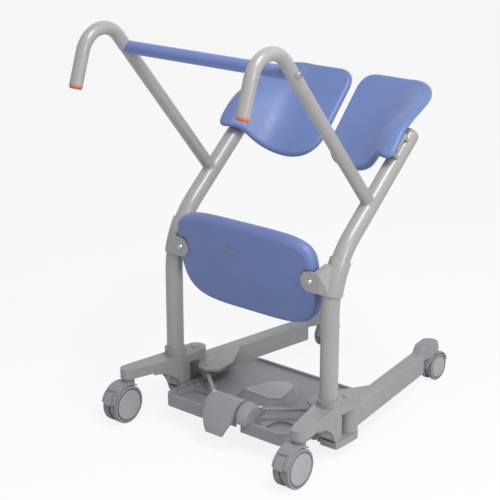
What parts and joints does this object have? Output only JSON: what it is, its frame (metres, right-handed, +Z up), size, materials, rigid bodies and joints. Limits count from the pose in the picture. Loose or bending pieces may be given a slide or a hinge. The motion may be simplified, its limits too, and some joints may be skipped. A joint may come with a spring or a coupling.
{
  "type": "standing and transfer aid",
  "caption": "Wheeled standing and transfer aid: bent tube masts on a low base with spreading legs, hooked handles, knee pad, footplate and seat flaps that swing aside.",
  "frame": {"origin": "on the floor, under the middle of the bounding box", "axes": "+Z up, -Y to the front where the pedal and the handle hooks are, +X to the right as seen from the front"},
  "size_m": [0.61, 0.9504, 1.0452],
  "materials": {
    "frame_grey": "satin powder coat, warm light grey",
    "base_grey": "satin powder coat, mid grey",
    "base_plastic": "grained moulding, mid grey",
    "island": "grained moulding, light grey",
    "pad_blue": "soft moulded skin, satin",
    "bar_blue": "soft sleeve, satin",
    "cap_orange": "moulded plug, satin",
    "steel": "zinc plated",
    "dark": "plug, matt",
    "wheel_grey": "non-marking tread and moulded disc"
  },
  "bodies": {
    "chassis": {"footplate": "base_plastic", "tread_pad": "island", "footplate_bolts": "steel", "casting_l": "base_grey", "casting_r": "base_grey", "mast_l": "frame_grey", "mast_r": "frame_grey", "mast_cap_l": "frame_grey", "mast_cap_r": "frame_grey", "mast_plugs": "dark", "handle_l": "frame_grey", "handle_r": "frame_grey", "grip_cap_l": "cap_orange", "grip_cap_r": "cap_orange", "crossbar": "bar_blue", "crossbar_bolts": "steel", "knee_bracket_l": "frame_grey", "knee_bracket_r": "frame_grey", "knee_pad": "pad_blue", "knee_screws": "steel", "seat_lug_l": "frame_grey", "seat_lug_r": "frame_grey", "seat_pins": "steel", "pedal_ear_l": "base_plastic", "pedal_ear_r": "base_plastic", "pedal_axle": "steel", "pivot_pins": "steel"},
    "pedal": {"pedal": "base_plastic"},
    "yoke": {"yoke": "steel", "yoke_pins": "steel"},
    "tie_rod_l": {"tie_rod_l": "base_grey"},
    "tie_rod_r": {"tie_rod_r": "base_grey"},
    "leg_l": {"leg_l": "base_grey", "leg_hood_l": "base_plastic", "arm_pin_l": "steel"},
    "leg_r": {"leg_r": "base_grey", "leg_hood_r": "base_plastic", "arm_pin_r": "steel"},
    "seat_l": {"seat_flap_l": "pad_blue", "seat_knuckle_l": "frame_grey"},
    "seat_r": {"seat_flap_r": "pad_blue", "seat_knuckle_r": "frame_grey"},
    "castor_fl": {"fork_fl": "base_plastic", "axle_fl": "steel"},
    "wheels_fl": {"wheels_fl": "wheel_grey"},
    "castor_fr": {"fork_fr": "base_plastic", "axle_fr": "steel"},
    "wheels_fr": {"wheels_fr": "wheel_grey"},
    "castor_rl": {"fork_rl": "base_plastic", "axle_rl": "steel"},
    "wheels_rl": {"wheels_rl": "wheel_grey"},
    "castor_rr": {"fork_rr": "base_plastic", "axle_rr": "steel"},
    "wheels_rr": {"wheels_rr": "wheel_grey"},
    "brake_fl": {"brake_fl": "base_plastic"},
    "brake_fr": {"brake_fr": "base_plastic"}
  },
  "joints": [
    {"name": "pedal_rock", "type": "hinge", "parent": "chassis", "child": "pedal", "pos_m": [0, -0.2319, 0.088], "axis": [1, 0, 0], "range_deg": [0, 36]},
    {"name": "yoke_slide", "type": "slide", "parent": "chassis", "child": "yoke", "axis": [0, 1, 0], "range_m": [0, 0.0137]},
    {"name": "leg_swing_r", "type": "hinge", "parent": "chassis", "child": "leg_r", "pos_m": [0.252, -0.0609, 0.08], "axis": [0, 0, 1], "range_deg": [-17.5, 0]},
    {"name": "leg_swing_l", "type": "hinge", "parent": "chassis", "child": "leg_l", "pos_m": [-0.252, -0.0609, 0.08], "axis": [0, 0, 1], "range_deg": [0, 17.5]},
    {"name": "tie_rod_turn_r", "type": "hinge", "parent": "yoke", "child": "tie_rod_r", "pos_m": [0.075, -0.1849, 0.09], "axis": [0, 0, 1], "range_deg": [0, 3.3]},
    {"name": "tie_rod_turn_l", "type": "hinge", "parent": "yoke", "child": "tie_rod_l", "pos_m": [-0.075, -0.1849, 0.09], "axis": [0, 0, 1], "range_deg": [-3.3, 0]},
    {"name": "seat_fold_r", "type": "hinge", "parent": "chassis", "child": "seat_r", "pos_m": [0.262, 0.1481, 0.77203], "axis": [0, 0.757, 0.6534], "range_deg": [0, 100]},
    {"name": "seat_fold_l", "type": "hinge", "parent": "chassis", "child": "seat_l", "pos_m": [-0.262, 0.1481, 0.77203], "axis": [0, -0.757, -0.6534], "range_deg": [0, 100]},
    {"name": "swivel_fl", "type": "hinge", "parent": "chassis", "child": "castor_fl", "pos_m": [-0.28, -0.2899, 0.11], "axis": [0, 0, 1], "continuous": true},
    {"name": "roll_fl", "type": "hinge", "parent": "castor_fl", "child": "wheels_fl", "pos_m": [-0.28, -0.3119, 0.05], "axis": [1, 0, 0], "continuous": true},
    {"name": "swivel_fr", "type": "hinge", "parent": "chassis", "child": "castor_fr", "pos_m": [0.28, -0.2899, 0.11], "axis": [0, 0, 1], "continuous": true},
    {"name": "roll_fr", "type": "hinge", "parent": "castor_fr", "child": "wheels_fr", "pos_m": [0.28, -0.3119, 0.05], "axis": [1, 0, 0], "continuous": true},
    {"name": "swivel_rl", "type": "hinge", "parent": "leg_l", "child": "castor_rl", "pos_m": [-0.18398, 0.40819, 0.11], "axis": [0, 0, 1], "continuous": true},
    {"name": "roll_rl", "type": "hinge", "parent": "castor_rl", "child": "wheels_rl", "pos_m": [-0.18398, 0.43319, 0.0375], "axis": [1, 0, 0], "continuous": true},
    {"name": "swivel_rr", "type": "hinge", "parent": "leg_r", "child": "castor_rr", "pos_m": [0.18398, 0.40819, 0.11], "axis": [0, 0, 1], "continuous": true},
    {"name": "roll_rr", "type": "hinge", "parent": "castor_rr", "child": "wheels_rr", "pos_m": [0.18398, 0.43319, 0.0375], "axis": [1, 0, 0], "continuous": true},
    {"name": "brake_press_fl", "type": "hinge", "parent": "castor_fl", "child": "brake_fl", "pos_m": [-0.28, -0.34872, 0.09712], "axis": [-1, 0, 0], "range_deg": [0, 15]},
    {"name": "brake_press_fr", "type": "hinge", "parent": "castor_fr", "child": "brake_fr", "pos_m": [0.28, -0.34872, 0.09712], "axis": [-1, 0, 0], "range_deg": [0, 15]}
  ],
  "couplings": [
    {"joint": "yoke_slide", "follows": "pedal_rock", "m_per_rad": 0.021645},
    {"joint": "leg_swing_r", "follows": "pedal_rock", "ratio": -0.48333},
    {"joint": "leg_swing_l", "follows": "pedal_rock", "ratio": 0.48333},
    {"joint": "tie_rod_turn_r", "follows": "pedal_rock", "ratio": 0.088611},
    {"joint": "tie_rod_turn_l", "follows": "pedal_rock", "ratio": -0.088611}
  ]
}
